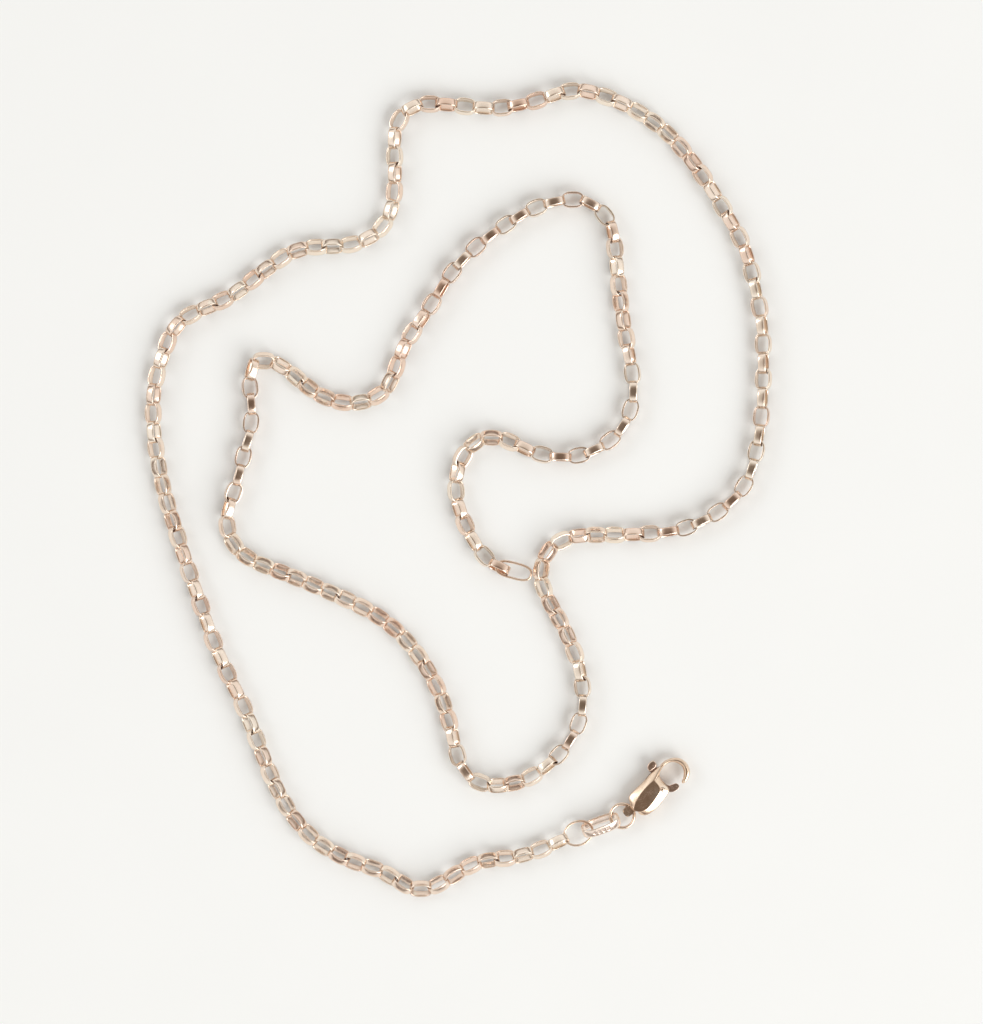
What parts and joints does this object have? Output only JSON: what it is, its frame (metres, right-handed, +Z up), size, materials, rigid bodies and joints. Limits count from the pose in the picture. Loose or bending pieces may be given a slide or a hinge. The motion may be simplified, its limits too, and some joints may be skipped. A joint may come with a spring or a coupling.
{
  "type": "pocket watch chain",
  "caption": "Fine oval belcher watch chain laid in loops, with a sprung lobster clasp, a hallmark link and a ring at one end and a long ring at the other.",
  "frame": {"origin": "centre of the laid-out chain's footprint, on the table it lies on", "axes": "+Z up from the table, +Y along the longer side of the layout, towards the far loops, +X to the right"},
  "size_m": [0.0766, 0.0994, 0.0025],
  "materials": {
    "link_gold": "polished rose gold, stood in by the nearest listed metal",
    "wire_gold": "polished rose gold, stood in by the nearest listed metal",
    "tag_gold": "polished rose gold, stood in by the nearest listed metal",
    "clasp_gold": "polished rose gold, stood in by the nearest listed metal",
    "lever_gold": "polished rose gold, stood in by the nearest listed metal",
    "rivet_gold": "polished rose gold, stood in by the nearest listed metal",
    "spring_steel": "bright spring wire"
  },
  "bodies": {
    "clasp": {"clasp_body": "clasp_gold", "clasp_rivet": "rivet_gold", "clasp_spring": "spring_steel"},
    "lever": {"clasp_lever": "lever_gold"},
    "clasp_ring": {"clasp_ring": "wire_gold"},
    "hallmark_link": {"hallmark_link": "tag_gold"},
    "oval_ring": {"oval_ring": "wire_gold"},
    "chain_01": {"chain_01": "link_gold"},
    "chain_02": {"chain_02": "link_gold"},
    "chain_03": {"chain_03": "link_gold"},
    "chain_04": {"chain_04": "link_gold"},
    "chain_05": {"chain_05": "link_gold"},
    "chain_06": {"chain_06": "link_gold"},
    "chain_07": {"chain_07": "link_gold"},
    "chain_08": {"chain_08": "link_gold"},
    "chain_09": {"chain_09": "link_gold"},
    "chain_10": {"chain_10": "link_gold"},
    "chain_11": {"chain_11": "link_gold"},
    "chain_12": {"chain_12": "link_gold"},
    "chain_13": {"chain_13": "link_gold"},
    "chain_14": {"chain_14": "link_gold"},
    "chain_15": {"chain_15": "link_gold"},
    "chain_16": {"chain_16": "link_gold"},
    "chain_17": {"chain_17": "link_gold"},
    "chain_18": {"chain_18": "link_gold"},
    "chain_19": {"chain_19": "link_gold"},
    "chain_20": {"chain_20": "link_gold"},
    "chain_21": {"chain_21": "link_gold"},
    "chain_22": {"chain_22": "link_gold"},
    "chain_23": {"chain_23": "link_gold"},
    "chain_24": {"chain_24": "link_gold"},
    "chain_25": {"chain_25": "link_gold"},
    "chain_26": {"chain_26": "link_gold"},
    "chain_27": {"chain_27": "link_gold"},
    "chain_28": {"chain_28": "link_gold"},
    "chain_29": {"chain_29": "link_gold"},
    "chain_30": {"chain_30": "link_gold"},
    "chain_31": {"chain_31": "link_gold"},
    "chain_32": {"chain_32": "link_gold"},
    "chain_33": {"chain_33": "link_gold"},
    "chain_34": {"chain_34": "link_gold"},
    "chain_35": {"chain_35": "link_gold"},
    "chain_36": {"chain_36": "link_gold"},
    "chain_37": {"chain_37": "link_gold"},
    "chain_38": {"chain_38": "link_gold"},
    "chain_39": {"chain_39": "link_gold"},
    "chain_40": {"chain_40": "link_gold"},
    "chain_41": {"chain_41": "link_gold"},
    "chain_42": {"chain_42": "link_gold"},
    "chain_43": {"chain_43": "link_gold"},
    "chain_44": {"chain_44": "link_gold"},
    "chain_45": {"chain_45": "link_gold"},
    "chain_46": {"chain_46": "link_gold"},
    "chain_47": {"chain_47": "link_gold"},
    "chain_48": {"chain_48": "link_gold"},
    "chain_49": {"chain_49": "link_gold"},
    "chain_50": {"chain_50": "link_gold"},
    "end_ring": {"end_ring": "wire_gold"}
  },
  "joints": [
    {"name": "lever_pivot", "type": "hinge", "parent": "clasp", "child": "lever", "pos_m": [0.02483, -0.03647, 0.0011], "axis": [0, 0, 1], "range_deg": [0, 20], "stiffness_Nm_per_rad": 0.0002, "springref_deg": -20.05, "deforming": ["clasp_spring"]},
    {"name": "clasp_eye_swing", "type": "hinge", "parent": "clasp", "child": "clasp_ring", "pos_m": [0.02109, -0.03884, 0.0011], "axis": [-0.6266, 0.7793, 0], "range_deg": [-30, 30]},
    {"name": "hallmark_link_swing", "type": "hinge", "parent": "clasp_ring", "child": "hallmark_link", "pos_m": [0.01863, -0.04031, 0.0011], "axis": [0.342, -0.9397, 0], "range_deg": [-15, 15]},
    {"name": "oval_ring_swing", "type": "hinge", "parent": "hallmark_link", "child": "oval_ring", "pos_m": [0.01631, -0.04123, 0.0011], "axis": [-0.342, 0.9397, 0], "range_deg": [-20, 20]},
    {"name": "bend_01", "type": "hinge", "parent": "oval_ring", "child": "chain_01", "pos_m": [0.01298, -0.04258, 0.0011], "axis": [-0.4045, 0.9145, 0], "range_deg": [-18, 18]},
    {"name": "bend_02", "type": "hinge", "parent": "chain_01", "child": "chain_02", "pos_m": [0.00466, -0.04501, 0.0011], "axis": [-0.1192, 0.9929, 0], "range_deg": [-18, 18]},
    {"name": "bend_03", "type": "hinge", "parent": "chain_02", "child": "chain_03", "pos_m": [-0.00754, -0.04752, 0.0011], "axis": [-0.5126, -0.8586, 0], "range_deg": [-18, 18]},
    {"name": "bend_04", "type": "hinge", "parent": "chain_03", "child": "chain_04", "pos_m": [-0.01355, -0.045, 0.0011], "axis": [-0.3951, -0.9186, 0], "range_deg": [-18, 18]},
    {"name": "bend_05", "type": "hinge", "parent": "chain_04", "child": "chain_05", "pos_m": [-0.02251, -0.03555, 0.0011], "axis": [0.9099, 0.4147, 0], "range_deg": [-18, 18]},
    {"name": "bend_06", "type": "hinge", "parent": "chain_05", "child": "chain_06", "pos_m": [-0.02493, -0.02947, 0.0011], "axis": [0.9326, 0.3608, 0], "range_deg": [-18, 18]},
    {"name": "bend_07", "type": "hinge", "parent": "chain_06", "child": "chain_07", "pos_m": [-0.02856, -0.02143, 0.0011], "axis": [-0.913, -0.4079, 0], "range_deg": [-18, 18]},
    {"name": "bend_08", "type": "hinge", "parent": "chain_07", "child": "chain_08", "pos_m": [-0.03167, -0.01317, 0.0011], "axis": [-0.9445, -0.3285, 0], "range_deg": [-18, 18]},
    {"name": "bend_09", "type": "hinge", "parent": "chain_08", "child": "chain_09", "pos_m": [-0.03445, -0.0048, 0.0011], "axis": [0.9539, 0.3001, 0], "range_deg": [-18, 18]},
    {"name": "bend_10", "type": "hinge", "parent": "chain_09", "child": "chain_10", "pos_m": [-0.03694, 0.006, 0.0011], "axis": [0.9936, 0.1127, 0], "range_deg": [-18, 18]},
    {"name": "bend_11", "type": "hinge", "parent": "chain_10", "child": "chain_11", "pos_m": [-0.03575, 0.01691, 0.0011], "axis": [-0.9432, 0.3321, 0], "range_deg": [-18, 18]},
    {"name": "bend_12", "type": "hinge", "parent": "chain_11", "child": "chain_12", "pos_m": [-0.02962, 0.02257, 0.0011], "axis": [-0.4013, 0.916, 0], "range_deg": [-18, 18]},
    {"name": "bend_13", "type": "hinge", "parent": "chain_12", "child": "chain_13", "pos_m": [-0.02419, 0.02617, 0.0011], "axis": [0.6162, -0.7876, 0], "range_deg": [-18, 18]},
    {"name": "bend_14", "type": "hinge", "parent": "chain_13", "child": "chain_14", "pos_m": [-0.01631, 0.02956, 0.0011], "axis": [0.0375, -0.9993, 0], "range_deg": [-18, 18]},
    {"name": "bend_15", "type": "hinge", "parent": "chain_14", "child": "chain_15", "pos_m": [-0.00772, 0.03951, 0.0011], "axis": [-0.9998, -0.0207, 0], "range_deg": [-18, 18]},
    {"name": "bend_16", "type": "hinge", "parent": "chain_15", "child": "chain_16", "pos_m": [-0.00245, 0.04692, 0.0011], "axis": [0.0365, 0.9993, 0], "range_deg": [-18, 18]},
    {"name": "bend_17", "type": "hinge", "parent": "chain_16", "child": "chain_17", "pos_m": [0.00634, 0.04657, 0.0011], "axis": [0.1517, -0.9884, 0], "range_deg": [-18, 18]},
    {"name": "bend_18", "type": "hinge", "parent": "chain_17", "child": "chain_18", "pos_m": [0.01264, 0.04835, 0.0011], "axis": [0.234, -0.9722, 0], "range_deg": [-18, 18]},
    {"name": "bend_19", "type": "hinge", "parent": "chain_18", "child": "chain_19", "pos_m": [0.01897, 0.04742, 0.0011], "axis": [0.3879, 0.9217, 0], "range_deg": [-18, 18]},
    {"name": "bend_20", "type": "hinge", "parent": "chain_19", "child": "chain_20", "pos_m": [0.02916, 0.03906, 0.0011], "axis": [0.8132, 0.582, 0], "range_deg": [-18, 18]},
    {"name": "bend_21", "type": "hinge", "parent": "chain_20", "child": "chain_21", "pos_m": [0.03267, 0.03353, 0.0011], "axis": [-0.8625, -0.506, 0], "range_deg": [-18, 18]},
    {"name": "bend_22", "type": "hinge", "parent": "chain_21", "child": "chain_22", "pos_m": [0.03598, 0.02541, 0.0011], "axis": [-0.9736, -0.2282, 0], "range_deg": [-18, 18]},
    {"name": "bend_23", "type": "hinge", "parent": "chain_22", "child": "chain_23", "pos_m": [0.03716, 0.01442, 0.0011], "axis": [1, -0.0097, 0], "range_deg": [-18, 18]},
    {"name": "bend_24", "type": "hinge", "parent": "chain_23", "child": "chain_24", "pos_m": [0.0365, 0.00562, 0.0011], "axis": [0.9836, -0.1803, 0], "range_deg": [-18, 18]},
    {"name": "bend_25", "type": "hinge", "parent": "chain_24", "child": "chain_25", "pos_m": [0.02871, -0.00434, 0.0011], "axis": [-0.373, 0.9278, 0], "range_deg": [-18, 18]},
    {"name": "bend_26", "type": "hinge", "parent": "chain_25", "child": "chain_26", "pos_m": [0.02229, -0.00545, 0.0011], "axis": [-0.0475, 0.9989, 0], "range_deg": [-18, 18]},
    {"name": "bend_27", "type": "hinge", "parent": "chain_26", "child": "chain_27", "pos_m": [0.01575, -0.00552, 0.0011], "axis": [0.054, -0.9985, 0], "range_deg": [-18, 18]},
    {"name": "bend_28", "type": "hinge", "parent": "chain_27", "child": "chain_28", "pos_m": [0.01177, -0.01488, 0.0011], "axis": [0.8738, 0.4863, 0], "range_deg": [-18, 18]},
    {"name": "bend_29", "type": "hinge", "parent": "chain_28", "child": "chain_29", "pos_m": [0.01503, -0.02303, 0.0011], "axis": [-0.9875, -0.1575, 0], "range_deg": [-18, 18]},
    {"name": "bend_30", "type": "hinge", "parent": "chain_29", "child": "chain_30", "pos_m": [0.01155, -0.03302, 0.0011], "axis": [-0.6791, 0.734, 0], "range_deg": [-18, 18]},
    {"name": "bend_31", "type": "hinge", "parent": "chain_30", "child": "chain_31", "pos_m": [0.00584, -0.03598, 0.0011], "axis": [0.1384, -0.9904, 0], "range_deg": [-18, 18]},
    {"name": "bend_32", "type": "hinge", "parent": "chain_31", "child": "chain_32", "pos_m": [-0.00086, -0.02914, 0.0011], "axis": [-0.9698, -0.2438, 0], "range_deg": [-18, 18]},
    {"name": "bend_33", "type": "hinge", "parent": "chain_32", "child": "chain_33", "pos_m": [-0.00426, -0.02104, 0.0011], "axis": [0.8348, 0.5505, 0], "range_deg": [-18, 18]},
    {"name": "bend_34", "type": "hinge", "parent": "chain_33", "child": "chain_34", "pos_m": [-0.01463, -0.01296, 0.0011], "axis": [0.3992, 0.9169, 0], "range_deg": [-18, 18]},
    {"name": "bend_35", "type": "hinge", "parent": "chain_34", "child": "chain_35", "pos_m": [-0.02066, -0.0104, 0.0011], "axis": [-0.3635, -0.9316, 0], "range_deg": [-18, 18]},
    {"name": "bend_36", "type": "hinge", "parent": "chain_35", "child": "chain_36", "pos_m": [-0.02773, -0.00134, 0.0011], "axis": [-0.9524, 0.3048, 0], "range_deg": [-18, 18]},
    {"name": "bend_37", "type": "hinge", "parent": "chain_36", "child": "chain_37", "pos_m": [-0.02593, 0.00494, 0.0011], "axis": [0.9648, -0.2631, 0], "range_deg": [-18, 18]},
    {"name": "bend_38", "type": "hinge", "parent": "chain_37", "child": "chain_38", "pos_m": [-0.02527, 0.01139, 0.0011], "axis": [0.9964, 0.0848, 0], "range_deg": [-18, 18]},
    {"name": "bend_39", "type": "hinge", "parent": "chain_38", "child": "chain_39", "pos_m": [-0.01899, 0.01302, 0.0011], "axis": [0.6346, 0.7728, 0], "range_deg": [-18, 18]},
    {"name": "bend_40", "type": "hinge", "parent": "chain_39", "child": "chain_40", "pos_m": [-0.00783, 0.01396, 0.0011], "axis": [-0.9217, 0.3879, 0], "range_deg": [-18, 18]},
    {"name": "bend_41", "type": "hinge", "parent": "chain_40", "child": "chain_41", "pos_m": [-0.00507, 0.01985, 0.0011], "axis": [0.8259, -0.5638, 0], "range_deg": [-18, 18]},
    {"name": "bend_42", "type": "hinge", "parent": "chain_41", "child": "chain_42", "pos_m": [-0.00015, 0.02716, 0.0011], "axis": [0.7634, -0.646, 0], "range_deg": [-18, 18]},
    {"name": "bend_43", "type": "hinge", "parent": "chain_42", "child": "chain_43", "pos_m": [0.00664, 0.03275, 0.0011], "axis": [-0.5297, 0.8482, 0], "range_deg": [-18, 18]},
    {"name": "bend_44", "type": "hinge", "parent": "chain_43", "child": "chain_44", "pos_m": [0.01898, 0.03038, 0.0011], "axis": [0.9883, 0.1528, 0], "range_deg": [-18, 18]},
    {"name": "bend_45", "type": "hinge", "parent": "chain_44", "child": "chain_45", "pos_m": [0.01964, 0.02386, 0.0011], "axis": [-0.9927, -0.1202, 0], "range_deg": [-18, 18]},
    {"name": "bend_46", "type": "hinge", "parent": "chain_45", "child": "chain_46", "pos_m": [0.02065, 0.01739, 0.0011], "axis": [-0.9847, -0.1744, 0], "range_deg": [-18, 18]},
    {"name": "bend_47", "type": "hinge", "parent": "chain_46", "child": "chain_47", "pos_m": [0.01566, 0.00436, 0.0011], "axis": [0.3242, -0.946, 0], "range_deg": [-18, 18]},
    {"name": "bend_48", "type": "hinge", "parent": "chain_47", "child": "chain_48", "pos_m": [0.00714, 0.0054, 0.0011], "axis": [-0.4147, -0.9099, 0], "range_deg": [-18, 18]},
    {"name": "bend_49", "type": "hinge", "parent": "chain_48", "child": "chain_49", "pos_m": [0.00007, 0.00308, 0.0011], "axis": [-0.9405, 0.3399, 0], "range_deg": [-18, 18]},
    {"name": "bend_50", "type": "hinge", "parent": "chain_49", "child": "chain_50", "pos_m": [0.00045, -0.00333, 0.0011], "axis": [-0.9387, -0.3446, 0], "range_deg": [-18, 18]},
    {"name": "end_ring_swing", "type": "hinge", "parent": "chain_50", "child": "end_ring", "pos_m": [0.00469, -0.00932, 0.0011], "axis": [0.2588, 0.9659, 0], "range_deg": [-20, 20]}
  ]
}
